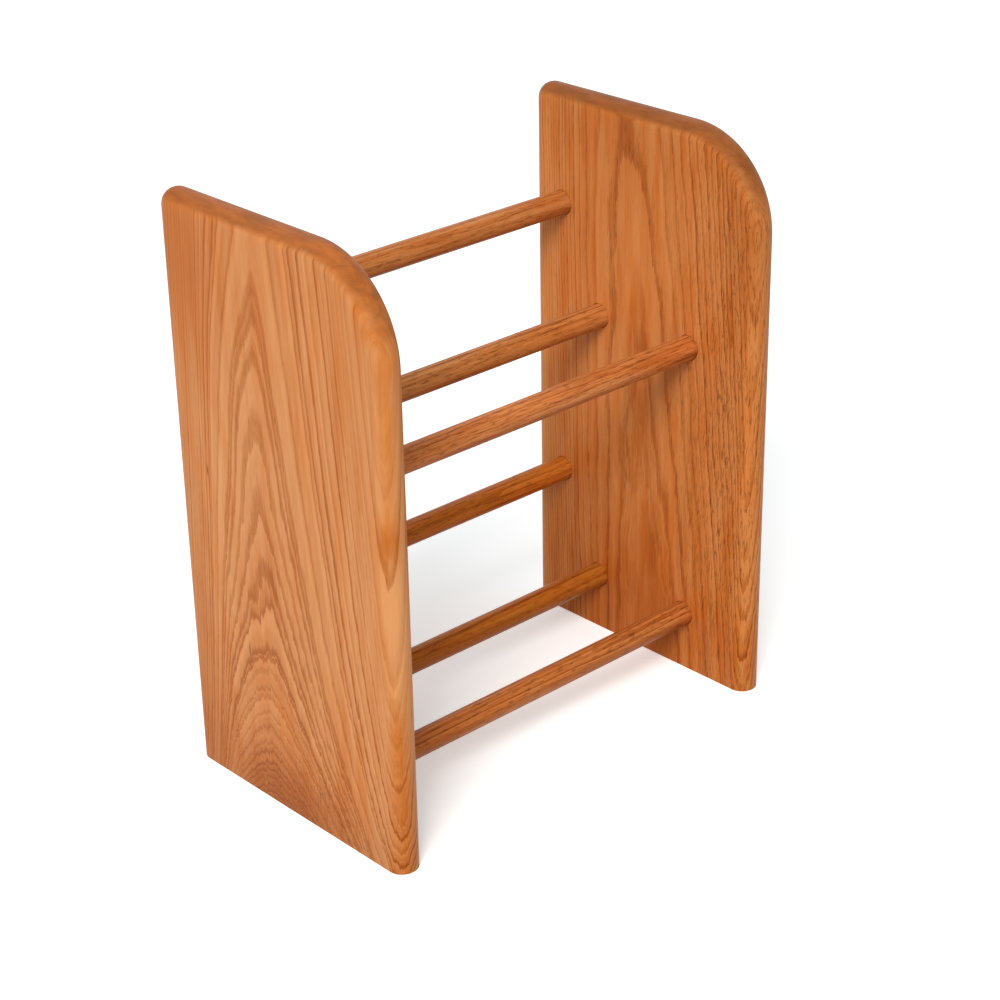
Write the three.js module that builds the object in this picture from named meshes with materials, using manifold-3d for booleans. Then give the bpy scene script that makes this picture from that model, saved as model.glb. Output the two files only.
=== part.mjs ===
// A small open oak storage rack with two rows.
// Two rounded side panels stand on the table, and six round rods join them, three to a row.
// In each row a rear rod and a front rod make the shelf, and a higher rod behind makes the backrest,
// so what stands in the rack leans back a little.
// Millimetres. X runs along the rods, the front faces -Y, and the panels stand on Z = 0.

import * as THREE from 'three';
import { mergeVertices } from 'three/addons/utils/BufferGeometryUtils.js';
import Module from 'manifold-3d';

// Driving sizes of the rack, measured across it, up it and from its back to its front
const innerWidth = 273.05; // clear width between the two panels
const panelThickness = 19.05;
const shelfHeight = 39.5; // floor to the axes of the lower shelf rods
const rowPitch = 186.7; // one row to the next
const backrestRise = 68.2; // shelf rods to the backrest rod above them
const topMargin = 73.9; // upper backrest rod to the top of the panels
const backMargin = 26.5; // back edge of the panels to the backrest rods
const backrestSetback = 33.4; // backrest rod to the rear shelf rod
const shelfSpan = 77.1; // rear shelf rod to the front shelf rod
const frontMargin = 53.5; // front shelf rod to the front edge of the panels
const rodDiameter = 15.875;

// Corners and edges of a panel
const frontCornerRadius = 61;
const faceCornerRadius = 1.2; // what the flat face keeps of the back corner's radius
const edgeFlat = 0.4; // flat left between the two round-overs of an edge

// Joints between rods and panels
const socketFloor = 8.5; // wood left between a socket and the outer face
const rodClearance = 0.3; // all round a rod and behind its end
const rodChamfer = 1;

// How far a cutter reaches past what it cuts
const overrun = 30;

// Facets
const arcSegments = 24;
const roundoverSegments = 8;
const rodSides = 48;

// The rows, from the bottom up
const rowNames = ['lower', 'upper'];
const rowCount = rowNames.length;

// Sizes that follow
const panelHeight = shelfHeight + (rowCount - 1) * rowPitch + backrestRise + topMargin;
const panelDepth = backMargin + backrestSetback + shelfSpan + frontMargin;
const edgeRadius = (panelThickness - edgeFlat) / 2;
const backCornerRadius = edgeRadius + faceCornerRadius;
const socketDepth = panelThickness - socketFloor;
const socketRadius = rodDiameter / 2 + rodClearance;
const rodLength = innerWidth + 2 * (socketDepth - rodClearance);
const panelOffset = (innerWidth + panelThickness) / 2;

// Places of a row's three rods: back from the middle of the panels, and up from the shelf
const backrestY = panelDepth / 2 - backMargin;
const rodPlaces = [
  { name: 'backrest_rod', y: backrestY, rise: backrestRise },
  { name: 'rear_shelf_rod', y: backrestY - backrestSetback, rise: 0 },
  { name: 'front_shelf_rod', y: backrestY - backrestSetback - shelfSpan, rise: 0 },
];

const wasm = await Module();
wasm.setup();

// Stained and lacquered oak: the flat-sawn panels are a little lighter than the rods
function oak(color, roughness) {
  return new THREE.MeshStandardMaterial({ color, roughness, metalness: 0 });
}

// A closed mesh, with its shared corners joined, as a solid that can be cut
function solidOf(geometry) {
  const bare = geometry.clone();
  bare.deleteAttribute('normal');
  bare.deleteAttribute('uv');
  const merged = mergeVertices(bare);
  const mesh = new wasm.Mesh({
    numProp: 3,
    vertProperties: merged.attributes.position.array,
    triVerts: new Uint32Array(merged.index.array),
  });
  return new wasm.Manifold(mesh);
}

function geometryOf(solid) {
  const { vertProperties, triVerts } = solid.getMesh();
  const geometry = new THREE.BufferGeometry();
  geometry.setAttribute('position', new THREE.BufferAttribute(vertProperties, 3));
  geometry.setIndex(new THREE.BufferAttribute(triVerts, 1));
  geometry.computeVertexNormals();
  return geometry;
}

// A panel seen from its side, with a wide curve at the front top and a small one at the back top.
// It runs on below the floor line, where the foot is sawn off flat.
function panelOutline() {
  const back = panelDepth / 2;
  const outline = new THREE.Shape();
  outline.moveTo(back, -overrun);
  outline.lineTo(back, panelHeight - backCornerRadius);
  outline.absarc(back - backCornerRadius, panelHeight - backCornerRadius, backCornerRadius, 0, Math.PI / 2);
  outline.lineTo(frontCornerRadius - back, panelHeight);
  outline.absarc(
    frontCornerRadius - back, panelHeight - frontCornerRadius, frontCornerRadius, Math.PI / 2, Math.PI,
  );
  outline.lineTo(-back, -overrun);
  outline.closePath();
  return outline;
}

// The board with both faces' edges rounded over, turned so that its thickness lies along X
function roundedBoard() {
  const geometry = new THREE.ExtrudeGeometry(panelOutline(), {
    depth: edgeFlat,
    curveSegments: arcSegments,
    bevelThickness: edgeRadius,
    bevelSize: edgeRadius,
    bevelOffset: -edgeRadius,
    bevelSegments: roundoverSegments,
  });
  geometry.translate(0, 0, -edgeFlat / 2);
  const turn = new THREE.Matrix4().makeBasis(
    new THREE.Vector3(0, 1, 0),
    new THREE.Vector3(0, 0, 1),
    new THREE.Vector3(1, 0, 0),
  );
  return solidOf(geometry.applyMatrix4(turn));
}

// Everything below the floor line, which squares off the foot of a panel
function belowFloor() {
  const geometry = new THREE.BoxGeometry(panelThickness + overrun, panelDepth + overrun, 2 * overrun);
  return solidOf(geometry.translate(0, 0, -overrun));
}

// A blind socket, from its floor out through the inner face; inward is the side that faces the rods
function socket(place, row, inward) {
  const length = socketDepth + overrun;
  const geometry = new THREE.CylinderGeometry(socketRadius, socketRadius, length, rodSides);
  geometry.rotateZ(Math.PI / 2);
  const middle = panelThickness / 2 - socketDepth + length / 2;
  geometry.translate(inward * middle, place.y, shelfHeight + row * rowPitch + place.rise);
  return solidOf(geometry);
}

function sidePanel(name, inward, material) {
  let solid = roundedBoard().subtract(belowFloor());
  for (let row = 0; row < rowCount; row += 1) {
    for (const place of rodPlaces) {
      solid = solid.subtract(socket(place, row, inward));
    }
  }
  const mesh = new THREE.Mesh(geometryOf(solid), material);
  mesh.name = name;
  mesh.position.x = -inward * panelOffset;
  return mesh;
}

// A round rod with a small chamfer at each end, which helps it into its sockets
function rodGeometry() {
  const radius = rodDiameter / 2;
  const end = rodLength / 2;
  const profile = [
    new THREE.Vector2(0, -end),
    new THREE.Vector2(radius - rodChamfer, -end),
    new THREE.Vector2(radius, rodChamfer - end),
    new THREE.Vector2(radius, end - rodChamfer),
    new THREE.Vector2(radius - rodChamfer, end),
    new THREE.Vector2(0, end),
  ];
  return new THREE.LatheGeometry(profile, rodSides).rotateZ(Math.PI / 2);
}

function rodRow(row, material) {
  const group = new THREE.Group();
  for (const place of rodPlaces) {
    const mesh = new THREE.Mesh(rodGeometry(), material);
    mesh.name = `${rowNames[row]}_${place.name}`;
    mesh.position.set(0, place.y, place.rise);
    group.add(mesh);
  }
  group.position.z = shelfHeight + row * rowPitch;
  return group;
}

const rack = new THREE.Group();
const panelOak = oak('#c9834f', 0.45);
const rodOak = oak('#b96d30', 0.45);
rack.add(sidePanel('left_side_panel', 1, panelOak));
rack.add(sidePanel('right_side_panel', -1, panelOak));
for (let row = 0; row < rowCount; row += 1) {
  rack.add(rodRow(row, rodOak));
}

export default rack;
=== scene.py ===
"""A small open oak storage rack: two rounded side panels joined by six round rods, in two rows.

Metres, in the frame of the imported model. X runs along the rods, the front faces -Y, and the
panels stand on Z = 0. Sizes written in millimetres are turned to metres with MM.
"""

import logging
import math
from collections.abc import Callable, Mapping, Sequence
from dataclasses import dataclass, field, replace
from enum import Enum
from functools import partial

import bmesh
import bpy
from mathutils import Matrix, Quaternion, Vector


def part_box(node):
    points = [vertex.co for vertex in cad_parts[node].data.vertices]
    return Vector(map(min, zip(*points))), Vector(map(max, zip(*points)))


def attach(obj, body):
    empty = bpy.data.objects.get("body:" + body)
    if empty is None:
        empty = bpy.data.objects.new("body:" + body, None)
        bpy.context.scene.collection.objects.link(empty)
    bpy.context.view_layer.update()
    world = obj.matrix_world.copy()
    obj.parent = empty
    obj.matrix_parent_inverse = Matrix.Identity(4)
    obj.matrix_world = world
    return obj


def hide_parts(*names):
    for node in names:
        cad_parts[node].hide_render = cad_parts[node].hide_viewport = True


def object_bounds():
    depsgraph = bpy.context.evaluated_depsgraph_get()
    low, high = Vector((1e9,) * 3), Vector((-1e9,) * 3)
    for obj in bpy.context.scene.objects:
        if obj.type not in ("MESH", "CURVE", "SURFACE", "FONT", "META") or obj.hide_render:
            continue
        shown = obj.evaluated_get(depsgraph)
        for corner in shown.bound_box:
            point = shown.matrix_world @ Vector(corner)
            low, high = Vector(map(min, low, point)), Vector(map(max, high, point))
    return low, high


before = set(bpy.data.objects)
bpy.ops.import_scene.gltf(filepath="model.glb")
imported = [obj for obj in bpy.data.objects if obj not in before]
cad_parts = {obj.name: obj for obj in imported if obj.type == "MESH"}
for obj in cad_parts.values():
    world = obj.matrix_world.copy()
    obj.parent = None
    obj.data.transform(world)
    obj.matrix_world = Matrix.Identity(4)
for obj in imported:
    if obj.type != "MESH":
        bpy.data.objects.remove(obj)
cad_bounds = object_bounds()

MM = 0.001
PER_METRE = 1000.0
log = logging.getLogger("rack")

Point = tuple[float, float]
Colour = tuple[float, float, float, float]
Tree = bpy.types.NodeTree
Node = bpy.types.Node
Value = Node | bpy.types.NodeSocket | float

# The kinds of node, and the way of easing a range, that the materials use most
MATH = "ShaderNodeMath"
VECTOR_MATH = "ShaderNodeVectorMath"
MAP_RANGE = "ShaderNodeMapRange"
NOISE = "ShaderNodeTexNoise"
CURVE = "ShaderNodeFloatCurve"
RAMP = "ShaderNodeValToRGB"
MIX = "ShaderNodeMix"
SMOOTH = {"interpolation_type": "SMOOTHSTEP"}


class Side(Enum):
    """The two side panels, by the sign of X on which each stands."""

    LEFT = -1
    RIGHT = 1


class Grain(Enum):
    """The direction of the fibres in a piece."""

    UPRIGHT = "Z"
    LENGTHWISE = "X"


def linear(hex_colour: str) -> Colour:
    """Turns a colour as the eye sees it into the linear values that a shader takes.

    Args:
        hex_colour: An sRGB colour such as "#c9834f".

    Returns:
        Red, green, blue and an alpha of one.
    """
    channels = []
    for start in (1, 3, 5):
        value = int(hex_colour[start:start + 2], 16) / 255
        channels.append(value / 12.92 if value <= 0.04045 else ((value + 0.055) / 1.055) ** 2.4)
    return (*channels, 1.0)


def add_node(
    tree: Tree, kind: str, inputs: Mapping[int | str, object] | Sequence[object] = (), **settings: object,
) -> Node:
    """Adds a node with its settings, and fills or links its inputs.

    Args:
        tree: The node tree that gets the node.
        kind: The node's type name.
        inputs: What goes into each input, by its name or number, or in order. A node stands
            for its first output.
        **settings: The node's own properties.

    Returns:
        The new node.
    """
    node = tree.nodes.new(kind)
    for name, value in settings.items():
        setattr(node, name, value)
    pairs = inputs.items() if isinstance(inputs, Mapping) else enumerate(inputs)
    for key, value in pairs:
        source = value.outputs[0] if isinstance(value, Node) else value
        if isinstance(source, bpy.types.NodeSocket):
            tree.links.new(source, node.inputs[key])
        else:
            node.inputs[key].default_value = source
    return node


def empty_tree(owner: bpy.types.Material | bpy.types.World) -> Tree:
    """Turns on the nodes of a material or a world, and clears them.

    Args:
        owner: The material or the world.

    Returns:
        Its node tree.
    """
    owner.use_nodes = True
    owner.node_tree.nodes.clear()
    return owner.node_tree


def set_stops(ramp: Node, stops: Sequence[tuple[float, Colour]]) -> None:
    """Gives a colour ramp its stops.

    Args:
        ramp: The ramp's node.
        stops: The place and the colour of each, from left to right.
    """
    elements = ramp.color_ramp.elements
    while len(elements) < len(stops):
        elements.new(0.5)
    for element, (position, colour) in zip(elements, stops):
        element.position = position
        element.color = colour


def set_curve(node: Node, places: Sequence[float], heights: Sequence[float]) -> None:
    """Gives a curve its points, joined by straight lines that go on past the ends.

    Args:
        node: The curve's node.
        places: Where the points are, from left to right, from 0 to 1.
        heights: How high each is.
    """
    node.mapping.extend = "EXTRAPOLATED"
    points = node.mapping.curves[0].points
    while len(points) < len(places):
        points.new(0.5, 0.5)
    for point, place, height in zip(points, places, heights):
        point.location = (place, height)
        point.handle_type = "VECTOR"
    node.mapping.update()


def add_object(name: str, mesh: bpy.types.Mesh) -> bpy.types.Object:
    """Puts a mesh into the scene as an object at the origin.

    Args:
        name: The object's name.
        mesh: Its mesh, already in place.

    Returns:
        The new object.
    """
    mesh.name = name
    piece = bpy.data.objects.new(name, mesh)
    bpy.context.scene.collection.objects.link(piece)
    return piece


def add_shell(name: str, shell: bmesh.types.BMesh) -> bpy.types.Object:
    """Turns the faces of closed shells outwards, and puts them into the scene.

    Args:
        name: The object's name.
        shell: The shells, which are freed.

    Returns:
        The new object.
    """
    bmesh.ops.recalc_face_normals(shell, faces=shell.faces)
    mesh = bpy.data.meshes.new(name)
    shell.to_mesh(mesh)
    shell.free()
    return add_object(name, mesh)


def baked_mesh(piece: bpy.types.Object) -> bpy.types.Mesh:
    """Evaluates an object's modifiers.

    Args:
        piece: The object.

    Returns:
        The result as a plain mesh.
    """
    bpy.context.view_layer.update()
    evaluated = piece.evaluated_get(bpy.context.evaluated_depsgraph_get())
    return bpy.data.meshes.new_from_object(evaluated)


@dataclass(frozen=True)
class Extent:
    """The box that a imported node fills."""

    low: Vector
    high: Vector

    @classmethod
    def of(cls, node: str) -> "Extent":
        """Reads the box of a node from the frame."""
        return cls(*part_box(node))

    @property
    def size(self) -> Vector:
        """Its width, depth and height."""
        return self.high - self.low

    @property
    def centre(self) -> Vector:
        """Its middle."""
        return (self.low + self.high) / 2


# Growth rings

@dataclass(frozen=True)
class Patch:
    """A soft-edged spot on the broad faces of a board, in millimetres.

    Attributes:
        place: Its middle, back from the middle of the board and up from the foot.
        size: How wide and how high it reaches.
        amount: How much it adds at its middle.
    """

    place: Point
    size: Point
    amount: float


@dataclass(frozen=True, kw_only=True)
class Figure:
    """How the growth rings of a log cross a board that was sawn from it, in millimetres.

    Growth is the squared distance of a ring from the heart of the log. A grown tree adds about
    the same area of wood each year, so one year's step of it stays about the same.

    Attributes:
        rings: The growth at each dark ring line, and how dark that line is, from 0 to 1.
        heart_foot: Where the heart runs behind the foot of the board, from its middle to the back.
        heart_lean: How far the heart moves to the front in each millimetre of height.
        taper: Growth that the face gains in each millimetre of height, as the trunk narrows.
        flare: Growth that it gains over the root flare near the foot.
        flare_height: How high the root flare reaches.
        arch_foot: Steepness of the arches at the foot, where they are wide.
        arch_gain: How much steeper they get in each millimetre of height.
        apex_radius: Roundness of an arch at its top.
        leg_shift: How far that round top moves the legs of the arch outwards.
        foot_arch: Steepness that the root flare adds to the arches near the foot.
        foot_lean: How much more of it they get towards the back, and less towards the front.
        foot_radius: Roundness of those arches at their top.
        spread: Growth in each square millimetre away from the heart line.
        crowding: The same again along the back edge, where the rings meet the face squarely.
        crowding_start: Where that strip starts, from the middle of the board to the back.
        crowding_width: How far the strip goes on before its lines are evenly spaced.
        depth: Growth lost in each millimetre of depth into the board.
        flutes: Growth added along a hollow in the trunk, or taken off along a rib, which bends the arches.
        wander: Slow irregular shift of the rings.
        ripple: Shift from one streak of fibres to the next, which makes an arch uneven.
        tearing: Fine shift from fibre to fibre, which frays an arch where it lies flat.
        smoothing: The heights between which the last two fall off, as the rings get wider apart.
        smoothed: The part of them that is left above that.
        foot_fray: How much rougher the rings are where the root flare begins.
        fade: Growth over which the early wood of a year fades into its late wood.
        fade_gain: How much more slowly it fades for each step of growth, as the years get wider.
        heartwood: The growth over which the darker, more open wood by the heart gives way.
    """

    rings: tuple[tuple[float, float], ...]
    heart_foot: float
    heart_lean: float
    taper: float
    flare: float = 0.0
    flare_height: float = 60.0
    arch_foot: float
    arch_gain: float = 0.0
    apex_radius: float
    leg_shift: float
    foot_arch: float = 0.0
    foot_lean: float = 0.0
    foot_radius: float = 12.0
    spread: float
    crowding: float
    crowding_start: float
    crowding_width: float
    depth: float
    flutes: tuple[Patch, ...]
    wander: float
    ripple: float
    tearing: float
    smoothing: Point = (60.0, 300.0)
    smoothed: float
    foot_fray: float
    fade: float
    fade_gain: float = 0.0
    heartwood: Point


CATHEDRAL = Figure(
    rings=(
        (-3500, 0.6), (-2850, 0.8), (-2200, 0.6), (-1500, 0.9), (-800, 0.7), (-100, 0.6), (500, 0.8),
        (1060, 0.8), (1730, 0.6), (2340, 0.8), (2810, 0.6), (3490, 0.7), (3940, 0.4), (4700, 0.7),
        (5300, 0.3), (5930, 0.5), (6250, 0.7), (6780, 0.5), (7170, 0.9), (7300, 1.0), (8170, 0.85),
        (8430, 0.9), (9000, 0.9), (9600, 0.6), (10220, 0.8), (10600, 0.8), (10790, 0.7),
        (12050, 0.5), (13380, 0.5), (13760, 0.9), (14600, 1.0), (15450, 0.4), (16400, 1.0),
        (17000, 0.35), (17600, 0.6), (18250, 0.3), (18800, 0.35), (19300, 0.25), (19800, 0.35),
        (21100, 0.8), (22100, 0.2), (22900, 0.3), (24300, 0.5),
        (25900, 0.8), (27000, 0.4), (29100, 0.8), (30200, 0.9), (32600, 0.5), (34400, 0.8),
    ),
    heart_foot=23.5,
    heart_lean=0.041,
    taper=12.0,
    flare=6875.0,
    flare_height=55.0,
    arch_foot=26.0,
    arch_gain=0.12,
    apex_radius=4.6,
    leg_shift=3.0,
    foot_arch=58.0,
    foot_lean=26.0,
    spread=0.65,
    crowding=6.5,
    crowding_start=50.0,
    crowding_width=22.0,
    depth=185.0,
    flutes=(
        Patch((22, 118), (9, 50), 380), Patch((34, 270), (17, 70), -650), Patch((-97, 32), (8, 14), 650),
    ),
    wander=420.0,
    ripple=460.0,
    tearing=230.0,
    smoothed=0.4,
    foot_fray=1.3,
    fade=500.0,
    fade_gain=0.01,
    heartwood=(-1000.0, 6500.0),
)

STRAIGHT = Figure(
    rings=(
        (-3100, 0.6), (-2600, 0.8), (-2200, 0.6), (-1800, 0.8), (-1350, 0.5), (-1000, 0.7),
        (-650, 0.4), (-310, 0.3), (50, 0.3), (390, 0.3), (600, 0.45), (1130, 0.8), (1730, 0.4),
        (2220, 0.7), (2710, 0.4), (3250, 0.8), (3740, 0.6), (4270, 0.9), (4720, 0.7), (5190, 0.9),
        (5690, 0.6), (6080, 0.8), (6490, 0.6), (6940, 0.8), (7390, 0.6), (7890, 0.8), (8390, 0.6),
        (8900, 0.7), (9400, 0.5),
    ),
    heart_foot=-11.5,
    heart_lean=-0.065,
    taper=3.3,
    arch_foot=3.0,
    apex_radius=6.0,
    leg_shift=6.0,
    spread=0.75,
    crowding=2.0,
    crowding_start=45.0,
    crowding_width=20.0,
    depth=150.0,
    flutes=(Patch((-92, 120), (6, 85), 700),),
    wander=520.0,
    ripple=260.0,
    tearing=160.0,
    smoothed=0.7,
    foot_fray=0.4,
    fade=350.0,
    heartwood=(-9000.0, -8000.0),
)


# Patterns and finishes

@dataclass(frozen=True)
class Streaks:
    """A noise that is drawn out along the fibres, in millimetres.

    Attributes:
        width: Its scale across the fibres.
        length: Its scale along them.
        shift: Moves it, so that each use differs.
    """

    width: float
    length: float
    shift: float


@dataclass(frozen=True)
class WoodField:
    """The patterns that a wood is made of, at each point of a piece.

    Attributes:
        tree: The material's node tree.
        place: The point, in millimetres.
        grain: The direction of the fibres.
        seed: Shifts the noises, so that no two pieces look alike.
        detail: How many finer layers a noise has.
        detail_share: How strong each is beside the one before.
    """

    tree: Tree
    place: Node
    grain: Grain
    seed: float
    detail: float = 2.0
    detail_share: float = 0.55

    def noise(self, size: Sequence[float], shift: float) -> Node:
        """Adds a noise that is drawn out by its own amount along each axis.

        Args:
            size: The noise's scale along X, Y and Z, in millimetres.
            shift: Moves it, so that each use differs.

        Returns:
            The noise, from 0 to 1.
        """
        scale = tuple(1 / length for length in size)
        start = (shift + self.seed, shift - self.seed, self.seed)
        drawn = add_node(self.tree, VECTOR_MATH, (self.place, scale, start), operation="MULTIPLY_ADD")
        return add_node(self.tree, NOISE, {
            "Vector": drawn, "Scale": 1.0, "Detail": self.detail, "Roughness": self.detail_share,
        })

    def fibres(self, streaks: Streaks) -> Node:
        """Adds a noise that is drawn out along the fibres.

        Args:
            streaks: Its scale and its shift.

        Returns:
            The noise, from 0 to 1.
        """
        across, along = streaks.width, streaks.length
        size = (across, across, along) if self.grain is Grain.UPRIGHT else (along, across, across)
        return self.noise(size, streaks.shift)

    def weighted_sum(self, total: Value, *terms: tuple[Value, Value]) -> Value:
        """Adds several terms to a value, each with its own weight.

        Args:
            total: The value that they add to.
            *terms: Each term and its weight.

        Returns:
            The sum.
        """
        for term, weight in terms:
            total = add_node(self.tree, MATH, (term, weight, total), operation="MULTIPLY_ADD")
        return total

    def spots(self, patches: Sequence[Patch], total: Value = 0.0) -> Value:
        """Adds soft-edged spots to a value.

        Args:
            patches: The spots.
            total: The value that they add to.

        Returns:
            The value with the spots on it.
        """
        for patch in patches:
            scale = (0.0, 1 / patch.size[0], 1 / patch.size[1])
            origin = (0.0, -patch.place[0] * scale[1], -patch.place[1] * scale[2])
            offset = add_node(self.tree, VECTOR_MATH, (self.place, scale, origin), operation="MULTIPLY_ADD")
            squared = add_node(self.tree, VECTOR_MATH, (offset, offset), operation="DOT_PRODUCT")
            bell = add_node(self.tree, MATH, (squared.outputs["Value"], -1.0), operation="MULTIPLY")
            bell = add_node(self.tree, MATH, (bell,), operation="EXPONENT")
            total = add_node(self.tree, MATH, (bell, patch.amount, total), operation="MULTIPLY_ADD")
        return total


@dataclass(frozen=True)
class Palette:
    """The colours of a stained oak, from its lightest late wood to the stain in its pores.

    Attributes:
        pale: The lightest late wood.
        honey: The late wood between the ring lines.
        amber: Where a ring line begins.
        umber: The darkest early wood.
        pore: The stain that fills a pore.
    """

    pale: str
    honey: str
    amber: str
    umber: str
    pore: str


@dataclass(frozen=True)
class OakFinish:
    """Red oak under a honey-coloured stain and a satin lacquer.

    Sawn, sanded and sprayed. The open pores of the early wood take more stain than the dense
    late wood, so the ring lines and the short pore streaks are darker and redder than the rest.

    Attributes:
        name: The material's name.
        tones: Its colours.
        grain: The direction of the fibres.
        seed: Shifts the patterns, so that no two pieces look alike.
        tone_places: Where umber, amber, honey and pale lie on the scale of tone.
        tone_middle: The tone between the ring lines, on average.
        line_share: How dark the ring lines are.
        bands: The broad bands of tone.
        band_share: How much they differ.
        fibres: The fine fibres.
        fibre_share: How much they differ.
        false_share: How much the false rings differ.
        young_share: How much darker the young wood by the heart is.
        stains_and_shading: Where more stain went in, and spots of painted light.
        stain_share: How much darker the wood is there.
        calm: Where the ring lines show less.
        warmth: Tint of the streaks where the stain went in deeper.
        soak: Those streaks.
        soak_levels: The levels of their noise from which and up to which they deepen.
        soaked: How strong they are.
        edge_slopes: The slopes to the front or back from which and up to which an edge is rounded.
        edge_stain_and_sheen: How much deeper the stain went into the sanded edges at the front and back;
            below zero it pales them, as painted sheen and painted light.
        pores: The pore streaks. A real pore is 0.3 mm wide, too fine to show, so it is drawn coarser.
        pore_levels: The levels of their noise from which and up to which a pore opens.
        pore_share: How much of a pore's stain shows.
        pore_crowd: How many pores are open away from the ring lines.
        pore_lines: How many more are open in a ring line.
        pore_young: How many more are open in the young wood.
        open_grain: Where more pores are open.
        flecks_and_shade: Dark mineral streaks and clouds, and clouds of painted shade.
        end_grain: The cut ends of the fibres, which drink in more stain.
        end_slopes: The slopes to the fibres from which and up to which they take over.
        end_share: How far they take over.
        end_blur: How much they hide the ring lines.
        end_streaks: The long streaks on them, which run from front to back.
        end_levels: The levels of that noise, and the brightness at each.
        relief: How strongly the open pores show as hollows.
        relief_depth: How deep they are, in metres.
        roughness: Of the satin lacquer.
        ior: Its refractive index.
        sheen_level: How much of the lacquer's reflection is left after its matting.
        sheen_tint: Colour of that reflection, which the wood under the thin lacquer warms.
    """

    name: str
    tones: Palette = Palette("#e4a169", "#d48e58", "#c0763e", "#a45923", "#844618")
    grain: Grain = Grain.UPRIGHT
    seed: float = 0.0
    tone_places: tuple[float, ...] = (0.0, 0.3, 0.62, 1.0)
    tone_middle: float = 0.7
    line_share: float = 0.62
    bands: Streaks = Streaks(11.0, 110.0, 3.0)
    band_share: float = 0.4
    fibres: Streaks = Streaks(1.5, 38.0, 11.0)
    fibre_share: float = 0.3
    false_share: float = 0.5
    young_share: float = 0.26
    stains_and_shading: tuple[Patch, ...] = ()
    stain_share: float = 0.3
    calm: tuple[Patch, ...] = ()
    warmth: str = "#f8dcae"
    soak: Streaks = Streaks(9.0, 80.0, 17.0)
    soak_levels: Point = (0.38, 0.72)
    soaked: float = 0.75
    edge_slopes: Point = (0.2, 0.9)
    edge_stain_and_sheen: float = 0.1
    pores: Streaks = Streaks(0.7, 7.0, 29.0)
    pore_levels: Point = (0.54, 0.63)
    pore_share: float = 0.55
    pore_crowd: float = 0.12
    pore_lines: float = 0.65
    pore_young: float = 0.5
    open_grain: tuple[Patch, ...] = ()
    flecks_and_shade: tuple[Patch, ...] = ()
    end_grain: str = "#a05624"
    end_slopes: Point = (0.12, 0.62)
    end_share: float = 0.86
    end_blur: float = 0.9
    end_streaks: Streaks = Streaks(4.5, 22.0, 41.0)
    end_levels: tuple[float, ...] = (0.3, 0.7, 0.68, 1.24)
    relief: float = 0.25
    relief_depth: float = 0.12 * MM
    roughness: float = 0.46
    ior: float = 1.5
    sheen_level: float = 0.25
    sheen_tint: str = "#f2c08a"

    def early_wood(self, wood: WoodField) -> tuple[Value, Value, Value]:
        """Gives how much early wood there is at each point, and two fields that follow the rings."""
        raise NotImplementedError

    def material(self) -> bpy.types.Material:
        """Builds the wood: its rings, its fibres and pores, and the lacquer over them.

        Returns:
            The material.
        """
        made = bpy.data.materials.new(self.name)
        tree = empty_tree(made)
        add = partial(add_node, tree)
        point = add("ShaderNodeTexCoord")
        place = add(VECTOR_MATH, {0: point.outputs["Object"], "Scale": PER_METRE}, operation="SCALE")
        wood = WoodField(tree, place, self.grain, self.seed)
        early, false_ring, young = self.early_wood(wood)

        # The ring lines blur where the fibres end at the surface
        facing = add("ShaderNodeSeparateXYZ", (point.outputs["Normal"],))
        steep = add(MATH, (facing.outputs[self.grain.value],), operation="ABSOLUTE")
        end = add(MAP_RANGE, (steep, *self.end_slopes, 0.0, self.end_share), **SMOOTH)
        clear = add(MATH, (end, -self.end_blur, 1.0), operation="MULTIPLY_ADD")
        clear = add(MATH, (clear, wood.spots(self.calm)), operation="SUBTRACT", use_clamp=True)
        early = add(MATH, (early, clear), operation="MULTIPLY")

        # Rings, slow bands and fine fibres add up to one tone
        # Stain spots darken the tone, and a spot with a negative amount lightens it as painted light
        stained = wood.spots(self.stains_and_shading)
        tone = wood.weighted_sum(
            self.tone_middle - (self.band_share + self.fibre_share + self.false_share) / 2,
            (early, -self.line_share), (wood.fibres(self.bands), self.band_share),
            (wood.fibres(self.fibres), self.fibre_share), (false_ring, self.false_share),
            (young, -self.young_share), (stained, -self.stain_share),
        )
        ramp = add(RAMP, (tone,))
        shades = (self.tones.umber, self.tones.amber, self.tones.honey, self.tones.pale)
        set_stops(ramp, [(spot, linear(shade)) for spot, shade in zip(self.tone_places, shades)])

        # Where the stain went in deeper the wood is warmer; where a share is below zero it is paler, as
        # painted light and painted sheen
        soaked = add(MAP_RANGE, (wood.fibres(self.soak), *self.soak_levels, 0.0, self.soaked), **SMOOTH)
        edge = add(MATH, (facing.outputs["Y"],), operation="ABSOLUTE")
        edge = add(MAP_RANGE, (edge, *self.edge_slopes, 0.0, self.edge_stain_and_sheen), **SMOOTH)
        deeper = add(MATH, (soaked, stained), operation="ADD")
        deeper = add(MATH, (deeper, edge), operation="ADD", use_clamp=True)
        warm = add(
            MIX, {0: deeper, 6: ramp, 7: linear(self.warmth)}, data_type="RGBA", blend_type="MULTIPLY",
        )

        # End grain is darker, and its rings run along it as long streaks
        across, along = self.end_streaks.width, self.end_streaks.length
        streak = wood.noise((across, along, across), self.end_streaks.shift)
        streaked = add(MAP_RANGE, (streak, *self.end_levels))
        cut = add(VECTOR_MATH, {0: linear(self.end_grain)[:3], "Scale": streaked}, operation="SCALE")
        worn = add(MIX, {0: end, 6: warm.outputs[2], 7: cut}, data_type="RGBA")

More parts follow.
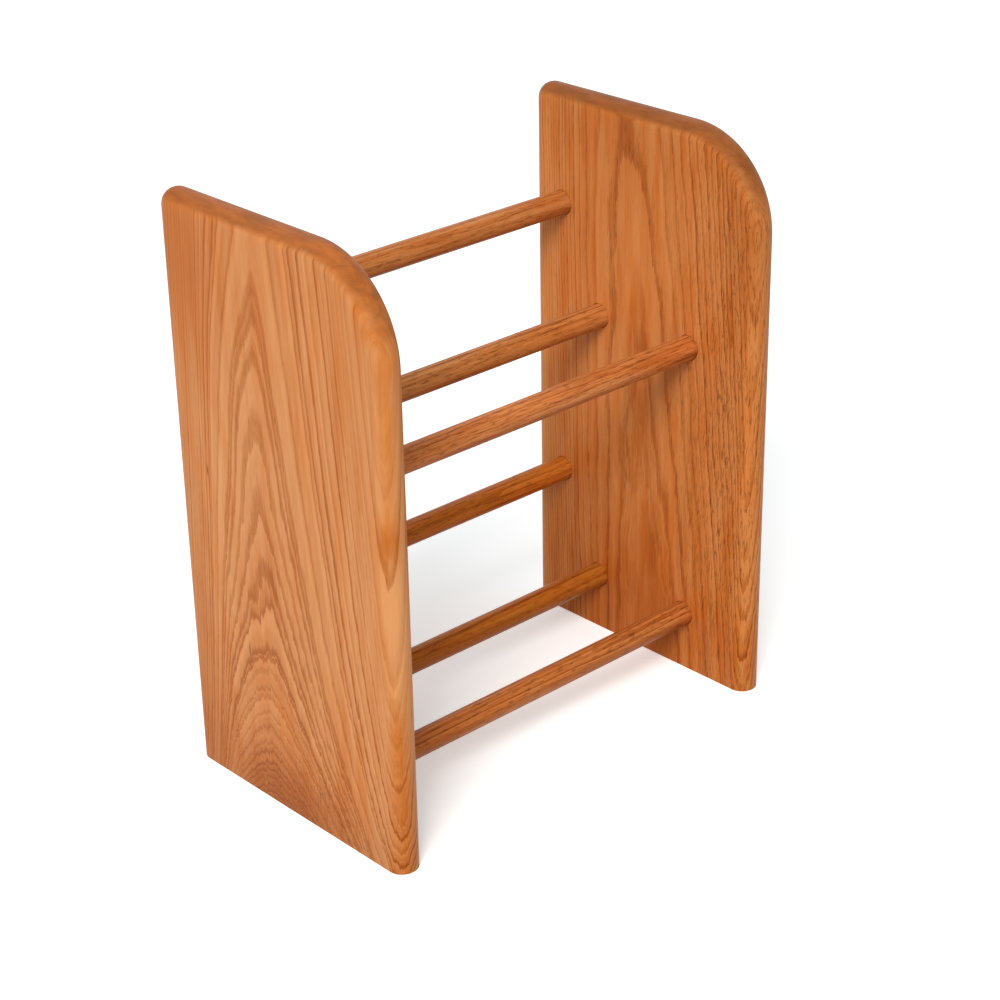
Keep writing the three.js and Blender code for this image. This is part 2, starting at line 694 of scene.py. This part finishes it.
        # Pores crowd in the early wood, and end grain shows none
        opening = add(MAP_RANGE, (wood.fibres(self.pores), *self.pore_levels, 0.0, 1.0), **SMOOTH)
        crowd = wood.weighted_sum(self.pore_crowd, (early, self.pore_lines), (young, self.pore_young))
        crowd = wood.spots(self.open_grain, crowd)
        pore = add(MATH, (opening, crowd), operation="MULTIPLY", use_clamp=True)
        shown = add(MATH, (end, -self.pore_share, self.pore_share), operation="MULTIPLY_ADD")
        dark = add(MATH, (pore, shown, wood.spots(self.flecks_and_shade)), operation="MULTIPLY_ADD", use_clamp=True)
        colour = add(MIX, {0: dark, 6: worn.outputs[2], 7: linear(self.tones.pore)}, data_type="RGBA")
        height = add(MATH, (pore, -1.0, 1.0), operation="MULTIPLY_ADD")
        bump = add("ShaderNodeBump", {
            "Height": height, "Strength": self.relief, "Distance": self.relief_depth,
        })
        shader = add("ShaderNodeBsdfPrincipled", {
            "Base Color": colour.outputs[2],
            "Roughness": self.roughness,
            "IOR": self.ior,
            "Specular IOR Level": self.sheen_level,
            "Specular Tint": linear(self.sheen_tint),
            "Normal": bump,
        })
        add("ShaderNodeOutputMaterial", {"Surface": shader})
        return made


@dataclass(frozen=True)
class BoardOak(OakFinish):
    """A wide oak board, with the rings of its figure on every face.

    Attributes:
        figure: How the rings cross the board.
        face: X of the face that looks to the left, in millimetres, where the depth starts.
        year: How dark the wood is through a year, from the ring line on: the place and the level.
        false_rings: How many false rings a year has.
    """

    figure: Figure = CATHEDRAL
    face: float = 0.0
    year: tuple[Point, ...] = ((0.0, 0.4), (0.06, 1.0), (0.26, 0.85), (0.45, 0.32), (1.0, 0.0))
    false_rings: float = 2.6

    def growth(self, wood: WoodField) -> Value:
        """Adds the growth at each point of the board.

        Args:
            wood: The patterns of the board.

        Returns:
            The growth, in square millimetres.
        """
        add = partial(add_node, wood.tree)
        shape = self.figure
        x, y, z = add("ShaderNodeSeparateXYZ", (wood.place,)).outputs

        # Up the board the trunk narrows, quickly over the root flare and slowly above it
        fade = add(MATH, (z, -1 / shape.flare_height), operation="MULTIPLY")
        fade = add(MATH, (fade,), operation="EXPONENT")
        flared = add(MATH, (fade, -shape.flare, shape.flare), operation="MULTIPLY_ADD")

        # Away from the heart line the rings come down as the legs of their arches, and near the
        # foot the flare makes these steeper, most of all at the back
        heart = add(MATH, (z, -shape.heart_lean, shape.heart_foot), operation="MULTIPLY_ADD")
        across = add(MATH, (y, heart), operation="SUBTRACT")
        square = add(MATH, (across, across), operation="MULTIPLY")
        legs = []
        for radius, shift in ((shape.apex_radius, shape.leg_shift), (shape.foot_radius, shape.foot_radius)):
            leg = add(MATH, (square, radius ** 2), operation="ADD")
            leg = add(MATH, (leg,), operation="SQRT")
            legs.append(add(MATH, (leg, shift), operation="SUBTRACT"))
        steep = add(MATH, (z, shape.arch_gain, shape.arch_foot), operation="MULTIPLY_ADD")
        leaning = add(MATH, (across, shape.foot_lean), operation="MULTIPLY")
        flank = add(MATH, (legs[1], shape.foot_arch, leaning), operation="MULTIPLY_ADD")

        # Along the back edge they crowd together
        past = add(MATH, (y, shape.crowding_start), operation="SUBTRACT")
        width = shape.crowding_width
        inside = add(MAP_RANGE, (past, 0.0, width, 0.0, width))
        reach = add(MATH, (past, 2.0), operation="MULTIPLY")
        reach = add(MATH, (reach, inside), operation="SUBTRACT")
        crowded = add(MATH, (inside, reach), operation="MULTIPLY")

        # Into the board they shift towards the heart, and hollows and ribs in the trunk bend them
        depth = add(MATH, (x, self.face), operation="SUBTRACT")
        total = wood.weighted_sum(
            flared, (z, shape.taper), (legs[0], steep), (square, shape.spread), (flank, fade),
            (crowded, shape.crowding), (depth, -shape.depth),
        )
        total = wood.spots(shape.flutes, total)

        # No tree grows evenly, and each fibre is cut a little higher or lower than the next
        smooth = add(MAP_RANGE, (z, *shape.smoothing, 1.0, shape.smoothed))
        smooth = add(MATH, (fade, shape.foot_fray, smooth), operation="MULTIPLY_ADD")
        shifts = (
            (Streaks(24.0, 70.0, 24.0), shape.wander, 1.0),
            (Streaks(4.5, 36.0, 4.5), shape.ripple, smooth),
            (Streaks(0.9, 14.0, 0.9), shape.tearing, smooth),
        )
        for streaks, amount, share in shifts:
            noise = wood.fibres(streaks)
            shift = add(MATH, (noise, amount, -amount / 2), operation="MULTIPLY_ADD")
            total = add(MATH, (shift, share, total), operation="MULTIPLY_ADD")
        return total

    def early_wood(self, wood: WoodField) -> tuple[Value, Value, Value]:
        """Gives how much early wood there is at each point, and two fields that follow the rings.

        Args:
            wood: The patterns of the board.

        Returns:
            The early wood, from 0 to 1, the thin false rings, and how young the tree was.
        """
        add = partial(add_node, wood.tree)
        growths, darks = zip(*self.figure.rings)
        count = len(growths) - 1
        first = growths[0]
        span = growths[-1] - first
        places = [(growth - first) / span for growth in growths]
        years = [year / count for year in range(count + 1)]
        total = self.growth(wood)
        share = add(MAP_RANGE, (total, first, first + span, 0.0, 1.0), clamp=False)
        counted = add(CURVE, {"Value": share})
        set_curve(counted, places, years)
        number = add(MATH, (counted, float(count)), operation="MULTIPLY")
        whole = add(MATH, (number,), operation="FLOOR")
        where = add(MATH, (whole, 1 / count), operation="MULTIPLY")

        # The early wood of a year begins sharply at its ring line and fades outwards
        begun = add(CURVE, {"Value": where})
        set_curve(begun, years, places)
        since = add(MATH, (share, begun), operation="SUBTRACT")
        fade, gain = self.figure.fade / span, self.figure.fade_gain / span
        reach = add(MATH, (total, gain, fade), operation="MULTIPLY_ADD")
        faded = add(MATH, (since, reach), operation="DIVIDE", use_clamp=True)
        profile = add(RAMP, (faded,))
        set_stops(profile, [(place, (level, level, level, 1.0)) for place, level in self.year])
        held = add("ShaderNodeClamp", (where,))
        darkness = add(CURVE, {"Value": held})
        set_curve(darkness, years, darks)
        early = add(MATH, (profile, darkness), operation="MULTIPLY")
        false_ring = add(
            NOISE, {"W": number, "Scale": self.false_rings, "Detail": 2.0}, noise_dimensions="1D",
        )
        young = add(MAP_RANGE, (total, *self.figure.heartwood, 1.0, 0.0), **SMOOTH)
        return early, false_ring, young


@dataclass(frozen=True)
class RodOak(OakFinish):
    """Oak dowel, turned from straight-grained stock, with its fibres along the rod.

    Attributes:
        ring_width: Millimetres from one ring line to the next.
        ring_tilt: How the rings lie in the rod's round section, as a slope.
        ring_wander: How many ring widths they wander.
        wandering: The slow noise that they follow.
        early_share: The part of a year in which the early wood fades.
        year_step: How far apart two years are read from the noise that says how dark each is.
        false_rings: How many false rings a year has.
        openness: How coarse and open its pores are, from 0 to 1.
    """

    grain: Grain = Grain.LENGTHWISE
    pores: Streaks = Streaks(0.9, 8.0, 29.0)
    pore_share: float = 0.8
    fibre_share: float = 0.5
    sheen_level: float = 0.4
    ring_width: float = 3.6
    ring_tilt: float = 0.45
    ring_wander: float = 2.2
    wandering: Streaks = Streaks(9.0, 150.0, 5.0)
    early_share: float = 0.6
    year_step: float = 0.77
    false_rings: float = 4.0
    openness: float = 0.6

    def early_wood(self, wood: WoodField) -> tuple[Value, Value, Value]:
        """Gives how much early wood there is at each point, and two fields that follow the rings.

        Args:
            wood: The patterns of the rod.

        Returns:
            The early wood, from 0 to 1, the thin false rings, and how young the tree was.
        """
        add = partial(add_node, wood.tree)
        slope = (0.0, 1 / self.ring_width, self.ring_tilt / self.ring_width)
        straight = add(VECTOR_MATH, (wood.place, slope), operation="DOT_PRODUCT")
        wander = wood.fibres(self.wandering)
        number = add(MATH, (wander, self.ring_wander, straight.outputs["Value"]), operation="MULTIPLY_ADD")
        year = add(MATH, (number,), operation="FLOOR")
        since = add(MATH, (number, year), operation="SUBTRACT")
        fading = add(MAP_RANGE, (since, 0.0, self.early_share, 1.0, 0.0))
        random = add(NOISE, {"W": year, "Scale": self.year_step, "Detail": 0.0}, noise_dimensions="1D")
        early = add(MATH, (fading, random), operation="MULTIPLY")
        false_ring = add(
            NOISE, {"W": number, "Scale": self.false_rings, "Detail": 1.0}, noise_dimensions="1D",
        )
        return early, false_ring, self.openness


# Pieces

@dataclass
class SidePanel:
    """One side of the rack: a single board with rounded edges, a wide front corner and a sawn foot.

    Attributes:
        side: Which side of the rack it is.
        finish: Its wood.
        rods: The boxes of the rods that end in it.
        front_radius: Radius of the wide corner at the front top.
        back_flat_radius: What the flat face keeps of the small corner at the back top.
        edge_flat: Flat left in the middle of an edge, between its two round-overs.
        socket_gap: Clearance round a rod in its socket, where a thin joint line shows.
        face_margin: Width of a flat strip along the round-over, which keeps the face's shading flat.
        corner_steps: Steps round a corner.
        edge_steps: Steps round an edge, from face to face.
        socket_sides: Sides of a socket.
        crease: The angle from which an edge is shaded as sharp.
    """

    side: Side
    finish: OakFinish
    rods: Sequence[Extent]
    front_radius: float = 61 * MM
    back_flat_radius: float = 1.2 * MM
    edge_flat: float = 0.4 * MM
    socket_gap: float = 0.3 * MM
    face_margin: float = 0.8 * MM
    corner_steps: int = 64
    edge_steps: int = 28
    socket_sides: int = 96
    crease: float = math.radians(40)
    node: str = field(init=False)
    box: Extent = field(init=False)

    def __post_init__(self) -> None:
        """Finds the panel's node and box in the frame."""
        self.node = f"{self.side.name.lower()}_side_panel"
        self.box = Extent.of(self.node)

    @property
    def edge_radius(self) -> float:
        """Radius of the round-over on each side of an edge."""
        return (self.box.size.x - self.edge_flat) / 2

    def outline(self, inset: float) -> list[Point]:
        """Lays out the panel's edge, seen from the side.

        Args:
            inset: How far the line lies inside the panel's full outline.

        Returns:
            Points from the back of the foot, over the top, to the front of the foot.
        """
        back = self.box.high.y - inset
        front = self.box.low.y + inset
        top = self.box.high.z - inset
        back_radius = self.edge_radius + self.back_flat_radius - inset
        front_radius = self.front_radius - inset
        points = [(back, self.box.low.z)]
        corners = (
            (back - back_radius, top - back_radius, back_radius, 0.0),
            (front + front_radius, top - front_radius, front_radius, math.pi / 2),
        )
        for centre_y, centre_z, radius, start in corners:
            for step in range(self.corner_steps + 1):
                angle = start + math.pi / 2 * step / self.corner_steps
                points.append((centre_y + radius * math.cos(angle), centre_z + radius * math.sin(angle)))
        points.append((front, self.box.low.z))
        return points

    def edge_profile(self) -> list[Point]:
        """Lays out the section of an edge.

        Returns:
            For each step from the left face to the right face, its X and its inset.
        """
        radius = self.edge_radius
        margin = radius + self.face_margin
        steps = []
        for side, face in ((-1, self.box.low.x), (1, self.box.high.x)):
            half = [(face, margin)]
            for step in range(self.edge_steps + 1):
                angle = math.pi / 2 * step / self.edge_steps
                half.append((face - side * radius * (1 - math.cos(angle)), radius * (1 - math.sin(angle))))
            steps.extend(half if side < 0 else reversed(half))
        return steps

    def board(self) -> bpy.types.Object:
        """Builds the board as one closed shell.

        Returns:
            The board, its foot flat and its sockets not yet cut.
        """
        shell = bmesh.new()
        rows = []
        for x, inset in self.edge_profile():
            rows.append([shell.verts.new((x, y, z)) for y, z in self.outline(inset)])
        for row, following in zip(rows, rows[1:]):
            for low, high, next_high, next_low in zip(row, row[1:], following[1:], following):
                shell.faces.new((low, high, next_high, next_low))
        shell.faces.new(reversed(rows[0]))
        shell.faces.new(rows[-1])
        shell.faces.new([row[0] for row in rows] + [row[-1] for row in reversed(rows)])
        return add_shell(f"{self.node}_board", shell)

    def socket_cutter(self) -> bpy.types.Object:
        """Builds what the sockets are cut with.

        Returns:
            Six round plugs, a little thicker and longer than the ends of the rods.
        """
        shell = bmesh.new()
        for rod in self.rods:
            radius = rod.size.z / 2 + self.socket_gap
            end = (rod.low.x - self.socket_gap) if self.side is Side.LEFT else (rod.high.x + self.socket_gap)
            rings = []
            for x in (rod.centre.x, end):
                ring = []
                for step in range(self.socket_sides):
                    angle = 2 * math.pi * step / self.socket_sides
                    y = rod.centre.y + radius * math.cos(angle)
                    z = rod.centre.z + radius * math.sin(angle)
                    ring.append(shell.verts.new((x, y, z)))
                rings.append(ring)
            for step in range(self.socket_sides):
                following = (step + 1) % self.socket_sides
                shell.faces.new((rings[0][step], rings[0][following], rings[1][following], rings[1][step]))
            shell.faces.new(reversed(rings[0]))
            shell.faces.new(rings[1])
        return add_shell(f"{self.node}_sockets", shell)

    def build(self) -> bpy.types.Object:
        """Cuts the sockets into the board and dresses it.

        Returns:
            The finished panel, in place of its node.
        """
        board = self.board()
        cutter = self.socket_cutter()
        cut = board.modifiers.new("sockets", "BOOLEAN")
        cut.object = cutter
        cut.operation = "DIFFERENCE"
        cut.solver = "EXACT"
        finished = baked_mesh(board)
        for spare in (board, cutter):
            bpy.data.objects.remove(spare)
        finished.shade_smooth()
        finished.set_sharp_from_angle(angle=self.crease)
        return self.dress(add_object(f"{self.side.name.lower()}_panel", finished))

    def dress(self, panel: bpy.types.Object) -> bpy.types.Object:
        """Gives the panel its wood and its place in the frame.

        Args:
            panel: The panel's object.

        Returns:
            The same object.
        """
        panel.data.materials.clear()
        panel.data.materials.append(self.finish.material())
        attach(panel, "root")
        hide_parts(self.node)
        return panel


@dataclass
class RodSet:
    """The six round rods, three to a row, turned by one geometry-node tree.

    Attributes:
        finishes: The wood of each row's rods, in the order of the places.
        places: The names of a row's rods.
        chamfer: The small chamfer at each end.
        sides: Sides of a rod.
        crease: The angle from which an edge is shaded as sharp.
        tree: The tree that turns a rod.
    """

    finishes: Mapping[str, Sequence[RodOak]]
    places: tuple[str, ...] = ("backrest_rod", "rear_shelf_rod", "front_shelf_rod")
    chamfer: float = 1 * MM
    sides: int = 96
    crease: float = math.radians(35)
    tree: Tree = field(init=False)

    def __post_init__(self) -> None:
        """Builds the tree that turns a rod."""
        self.tree = self.turning_tree()

    @property
    def woods(self) -> dict[str, RodOak]:
        """Pairs each rod with its wood.

        Returns:
            The wood of each rod, by the name of its node.
        """
        return {
            f"{row}_{place}": wood
            for row, finishes in self.finishes.items()
            for place, wood in zip(self.places, finishes)
        }

    @property
    def boxes(self) -> list[Extent]:
        """The boxes of the rods."""
        return [Extent.of(node) for node in self.woods]

    def turning_tree(self) -> Tree:
        """Builds the tree: a line of four points, swept by a circle that narrows at both ends.

        Returns:
            A tree with the inputs Length, Radius, Chamfer, Sides, Centre and Wood.
        """
        tree = bpy.data.node_groups.new("turned_rod", "GeometryNodeTree")
        add = partial(add_node, tree)
        sockets = {
            "Geometry": "Geometry", "Length": "Float", "Radius": "Float", "Chamfer": "Float",
            "Sides": "Int", "Centre": "Vector", "Wood": "Material",
        }
        for name, kind in sockets.items():
            tree.interface.new_socket(name, in_out="INPUT", socket_type=f"NodeSocket{kind}")
        tree.interface.new_socket("Geometry", in_out="OUTPUT", socket_type="NodeSocketGeometry")
        given = add("NodeGroupInput").outputs

        # The four points run from end to end, the middle two a chamfer's width in from the ends
        count = 4
        middle = (count - 1) / 2
        line = add("GeometryNodeCurvePrimitiveLine", {"Start": (-1.0, 0.0, 0.0), "End": (1.0, 0.0, 0.0)})
        line = add("GeometryNodeResampleCurve", {"Curve": line, "Count": count})
        index = add("GeometryNodeInputIndex")
        centred = add(MATH, (index, middle), operation="SUBTRACT")
        way = add(MATH, (centred,), operation="SIGN")
        spread = add(MATH, (centred,), operation="ABSOLUTE")
        at_end = add(MATH, (spread, middle - 0.5), operation="GREATER_THAN")
        shoulder = add(MATH, (1.0, at_end), operation="SUBTRACT")
        half = add(MATH, (given["Length"], 0.5), operation="MULTIPLY")
        drawn_in = add(MATH, (shoulder, given["Chamfer"]), operation="MULTIPLY")
        reach = add(MATH, (half, drawn_in), operation="SUBTRACT")
        x = add(MATH, (reach, way), operation="MULTIPLY")
        spot = add("ShaderNodeCombineXYZ", {"X": x})
        spot = add(VECTOR_MATH, (spot, given["Centre"]), operation="ADD")
        line = add("GeometryNodeSetPosition", {"Geometry": line, "Position": spot})

        # The section is narrower by the chamfer at both ends
        less = add(MATH, (at_end, given["Chamfer"]), operation="MULTIPLY")
        width = add(MATH, (given["Radius"], less), operation="SUBTRACT")
        share = add(MATH, (width, given["Radius"]), operation="DIVIDE")
        section = add("GeometryNodeCurvePrimitiveCircle", {
            "Resolution": given["Sides"], "Radius": given["Radius"],
        })
        swept = add("GeometryNodeCurveToMesh", {
            "Curve": line, "Profile Curve": section, "Scale": share, "Fill Caps": True,
        })
        placed = add("GeometryNodeRealizeInstances", {"Geometry": swept})
        dressed = add("GeometryNodeSetMaterial", {"Geometry": placed, "Material": given["Wood"]})
        add("NodeGroupOutput", (dressed,))
        return tree

    def build(self) -> list[bpy.types.Object]:
        """Turns the six rods, each its own piece in place of its own node."""
        return [self.turn(node, wood) for node, wood in self.woods.items()]

    def turn(self, node: str, wood: RodOak) -> bpy.types.Object:
        """Turns one rod and dresses it.

        Args:
            node: The node that it stands for.
            wood: Its finish.

        Returns:
            The finished rod.
        """
        box = Extent.of(node)
        name = node.replace("_rod", "_dowel")
        blank = add_object(f"{name}_blank", bpy.data.meshes.new(f"{name}_blank"))
        sizes = {
            "Length": box.size.x,
            "Radius": box.size.z / 2,
            "Chamfer": self.chamfer,
            "Sides": self.sides,
            "Centre": box.centre,
            "Wood": wood.material(),
        }
        turning = blank.modifiers.new("turning", "NODES")
        turning.node_group = self.tree
        for socket in self.tree.interface.items_tree:
            if socket.in_out == "INPUT" and socket.name in sizes:
                turning[socket.identifier] = sizes[socket.name]
        mesh = baked_mesh(blank)
        bpy.data.objects.remove(blank)
        mesh.shade_smooth()
        mesh.set_sharp_from_angle(angle=self.crease)
        rod = add_object(name, mesh)
        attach(rod, "root")
        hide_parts(node)
        return rod


# Studio

@dataclass(frozen=True)
class Softbox:
    """A square lamp that faces the rack.

    Attributes:
        azimuth: Where it stands, in degrees round the rack: 0 in front, -90 to the left.
        elevation: How high, in degrees.
        distance: From the middle of the rack, in metres.
        width: Of its side, in metres.
        level: How brightly it lights a white surface that faces it, where 1 is white.
    """

    azimuth: float
    elevation: float
    distance: float
    width: float
    level: float

    def build(self, target: Vector) -> None:
        """Sets the lamp up, turned to the target.

        Args:
            target: What it lights.
        """
        lamp = bpy.data.lights.new("softbox", "AREA")
        lamp.shape = "SQUARE"
        lamp.size = self.width
        lamp.energy = self.level * math.pi ** 2 * self.distance ** 2
        stand_at(bpy.data.objects.new("softbox", lamp), target, self.azimuth, self.elevation, self.distance)


def stand_at(
    thing: bpy.types.Object,
    target: Vector,
    azimuth: float,
    elevation: float,
    distance: float,
    roll: float = 0.0,
) -> None:
    """Puts a lamp or a camera in its place round the rack, turned to a target.

    Args:
        thing: The lamp or the camera.
        target: The point that it faces.
        azimuth: Degrees round the rack, 0 in front of it and -90 to its left.
        elevation: Degrees above the horizon.
        distance: Metres from the target.
        roll: Its turn about the line of sight, in degrees.
    """
    turn = math.radians(azimuth)
    lift = math.radians(elevation)
    back = Vector((math.sin(turn) * math.cos(lift), -math.cos(turn) * math.cos(lift), math.sin(lift)))
    thing.location = target + back * distance
    thing.rotation_mode = "QUATERNION"
    rolled = Quaternion((0.0, 0.0, 1.0), math.radians(roll))
    thing.rotation_quaternion = (-back).to_track_quat("-Z", "Y") @ rolled
    bpy.context.scene.collection.objects.link(thing)


@dataclass
class Studio:
    """A white floor, soft white light from the front left, and the camera.

    Attributes:
        softbox: The lamp.
        ambient: Level of the light from all round.
        ambient_colour: Colour of that light.
        floor_size: Side of the floor, in metres.
        floor_grey: The floor's own pale grey.
        floor_bounce: The part of the light that it throws back onto the rack.
        floor_glow: What the floor shows to the camera on top of the light that it gets.
        floor_tint: Colour of that, slightly cool against the warm light thrown back by the wood.
        azimuth: The camera's place round the rack, in degrees.
        elevation: Its height above the horizon, in degrees.
        roll: Its turn about the line of sight, in degrees.
        aim: The point that it looks at.
        distance: From that point.
        lens: Focal length in millimetres.
        sensor: Width of the sensor in millimetres.
    """

    softbox: Softbox = Softbox(azimuth=-57, elevation=38, distance=9.0, width=3.6, level=0.78)
    ambient: float = 0.56
    ambient_colour: str = "#ffffff"
    floor_size: float = 12.0
    floor_grey: float = 1.12
    floor_bounce: float = 0.38
    floor_glow: float = 0.25
    floor_tint: str = "#f2ffff"
    azimuth: float = -42.73
    elevation: float = 25.83
    roll: float = -1.033
    aim: Vector = field(default_factory=lambda: Vector((-0.34, -15.95, 159.47)) * MM)
    distance: float = 1414.4 * MM
    lens: float = 84.46
    sensor: float = 36.0

    def build(self) -> None:
        """Sets up the world, the lamp, the floor, the camera and the view."""
        low, high = cad_bounds
        self.world()
        self.softbox.build((low + high) / 2)
        self.floor(low.z)
        self.camera()
        bpy.context.scene.view_settings.view_transform = "Standard"

    @staticmethod
    def seen_directly(add: Callable[..., Node]) -> Node:
        """Adds a value that is 1 for the rays that show the backdrop, straight on or in a gloss.

        Args:
            add: Adds a node to the backdrop's tree.

        Returns:
            The value.
        """
        path = add("ShaderNodeLightPath").outputs
        mirrored = add(MATH, (path["Is Glossy Ray"], path["Is Transmission Ray"]), operation="MAXIMUM")
        return add(MATH, (path["Is Camera Ray"], mirrored), operation="MAXIMUM")

    def world(self) -> None:
        """Lights the scene from all round, and shows as white behind it."""
        world = bpy.data.worlds.new("white_room")
        bpy.context.scene.world = world
        add = partial(add_node, empty_tree(world))
        strength = add(MAP_RANGE, (self.seen_directly(add), 0.0, 1.0, self.ambient, 1.0))
        room = add("ShaderNodeBackground", {"Color": linear(self.ambient_colour), "Strength": strength})
        add("ShaderNodeOutputWorld", {"Surface": room})

    def floor(self, height: float) -> None:
        """Lays the floor, which keeps the rack's shadow.

        Args:
            height: Z of its surface.
        """
        half = self.floor_size / 2
        corners = [(x * half, y * half, height) for x, y in ((-1, -1), (1, -1), (1, 1), (-1, 1))]
        mesh = bpy.data.meshes.new("floor")
        mesh.from_pydata(corners, [], [(0, 1, 2, 3)])

        # Matt white paint has no gloss, so it shows only the light and the shadow on it
        paint = bpy.data.materials.new("white_floor")
        add = partial(add_node, empty_tree(paint))
        seen = self.seen_directly(add)
        grey = add(MAP_RANGE, (seen, 0.0, 1.0, self.floor_bounce, self.floor_grey))
        matt = add("ShaderNodeBsdfDiffuse", {"Color": grey})
        glow = add(MATH, (seen, self.floor_glow), operation="MULTIPLY")
        shown = add("ShaderNodeEmission", {"Color": linear(self.floor_tint), "Strength": glow})
        both = add("ShaderNodeAddShader", (matt, shown))
        add("ShaderNodeOutputMaterial", {"Surface": both})
        mesh.materials.append(paint)
        add_object("floor", mesh)

    def camera(self) -> None:
        """Places the camera at the photograph's viewing angle."""
        lens = bpy.data.cameras.new("camera")
        lens.lens = self.lens
        lens.sensor_width = self.sensor
        lens.clip_end = self.floor_size
        view = bpy.data.objects.new("camera", lens)
        stand_at(view, self.aim, self.azimuth, self.elevation, self.distance, self.roll)
        bpy.context.scene.camera = view


def report(piece: bpy.types.Object) -> None:
    """Logs a finished piece."""
    log.info("%s: %d faces", piece.name, len(piece.data.polygons))


def panel_finishes() -> dict[Side, BoardOak]:
    """Chooses the two boards.

    Returns:
        The wood of each side panel.
    """
    cathedral = BoardOak(
        name="cathedral_oak",
        figure=CATHEDRAL,
        face=Extent.of("left_side_panel").low.x / MM,
        fibre_share=0.24,
        pore_crowd=0.07,
        stains_and_shading=(
            Patch((76, 335), (36, 62), 0.95), Patch((-72, 300), (24, 50), 0.25),
            Patch((-93, 165), (9, 55), -0.55), Patch((74, 90), (18, 80), 0.4),
            Patch((-4, 12), (42, 30), 0.6), Patch((84, 25), (22, 45), 0.3),
            Patch((42, 165), (26, 90), -0.32), Patch((-25, 352), (42, 34), 0.22),
            Patch((-95, 40), (8, 60), 0.5), Patch((-92, 213), (3.5, 14), 0.7),
            # The last spot makes the board darker towards its foot.
            Patch((-88, 330), (6, 5), 0.5), Patch((15, 14), (75, 34), 0.18),
        ),
        open_grain=(Patch((-20, 16), (34, 24), 0.8),),
        calm=(
            Patch((76, 325), (24, 65), 0.6), Patch((-76, 300), (14, 50), 0.45),
            Patch((-95, 290), (8, 40), 0.55), Patch((0, 330), (80, 90), 0.14),
        ),
        flecks_and_shade=(
            Patch((64, 204), (0.7, 3.5), 1.0), Patch((35, 97), (0.7, 5), 1.0),
            # The wide band along the foot is partly painted contact shade where the board meets the floor.
            Patch((85, 340), (30, 60), 0.06), Patch((0, 2), (130, 27), 0.29),
            Patch((-86.5, 275), (1.1, 55), 0.2), Patch((-91.5, 290), (1, 40), 0.16),
            Patch((87, 140), (13, 170), 0.17),
        ),
    )
    straight = BoardOak(
        name="straight_oak",
        figure=STRAIGHT,
        face=Extent.of("right_side_panel").low.x / MM,
        seed=40.0,
        tones=Palette("#de9152", "#ce7f42", "#b4652c", "#924918", "#6a300e"),
        end_grain="#8c4e26",
        soaked=1.0,
        # Below zero the edges come out paler and less warm: painted sheen at the front, painted light at the
        # back.
        edge_stain_and_sheen=-0.5,
        line_share=0.52,
        band_share=0.5,
        pores=Streaks(0.85, 7.0, 29.0),
        pore_share=0.7,
        pore_crowd=0.08,
        stains_and_shading=(
            Patch((10, 25), (60, 55), 0.55), Patch((24, 35), (12, 60), 0.3),
            Patch((-30, 20), (10, 35), 0.35), Patch((-15, 78), (7, 30), 0.6),
            # The last spot, at the back edge, is painted light: its negative amount lightens that edge.
            Patch((-80, 30), (22, 40), 0.4), Patch((92, 140), (8, 120), -0.8),
        ),
        open_grain=(Patch((-74, 170), (32, 220), 0.7),),
        calm=(Patch((90, 150), (18, 170), 0.5), Patch((-94, 300), (12, 55), 0.5)),
        # Both clouds are painted shade that darkens the top of the board.
        flecks_and_shade=(Patch((40, 365), (90, 60), 0.17), Patch((-88, 310), (22, 60), 0.22)),
    )
    return {Side.LEFT: cathedral, Side.RIGHT: straight}


def rod_finishes() -> dict[str, list[RodOak]]:
    """Chooses the wood of the rods: each is a stick of its own, and some are paler than others.

    Returns:
        For each row, from the bottom up, the wood of its backrest, rear and front rods.
    """
    bright = Palette("#e7984a", "#d68234", "#bb6a24", "#925014", "#64300c")
    deep = Palette("#d28a3b", "#c2752a", "#a85c1b", "#82420e", "#5a2809")
    brown = Palette("#e09c5e", "#d08246", "#b2652e", "#8a481a", "#5c2c0c")
    fair = Palette("#d89c6a", "#c8844c", "#b06a36", "#8b4b22", "#603010")
    light = Palette("#e4aa72", "#d49056", "#bb743c", "#955424", "#5c2c0c")
    pinkish = Palette("#eca870", "#dc8c50", "#bc6a34", "#944e1c", "#5c2c0c")
    plain = RodOak("rod_oak")
    coarse = replace(plain, openness=0.9, fibre_share=0.6)
    rows = {
        "lower": (replace(plain, tones=bright), replace(plain, tones=deep), replace(coarse, tones=brown)),
        "upper": (
            replace(plain, tones=fair),
            replace(plain, tones=light, openness=0.8),
            replace(coarse, tones=pinkish),
        ),
    }
    seed_step = 7.3
    return {
        row: [
            replace(
                wood,
                name=f"{row}_rod_oak_{number}",
                seed=seed_step * (1 + number + len(woods) * level),
                ring_tilt=wood.ring_tilt * (number - 1),
            )
            for number, wood in enumerate(woods)
        ]
        for level, (row, woods) in enumerate(rows.items())
    }


def main() -> None:
    """Builds the rack and the studio."""
    logging.basicConfig(level=logging.INFO, format="%(name)s: %(message)s")
    rods = RodSet(rod_finishes())
    for side, finish in panel_finishes().items():
        report(SidePanel(side, finish, rods.boxes).build())
    for rod in rods.build():
        report(rod)
    Studio().build()


if __name__ == "__main__":
    main()
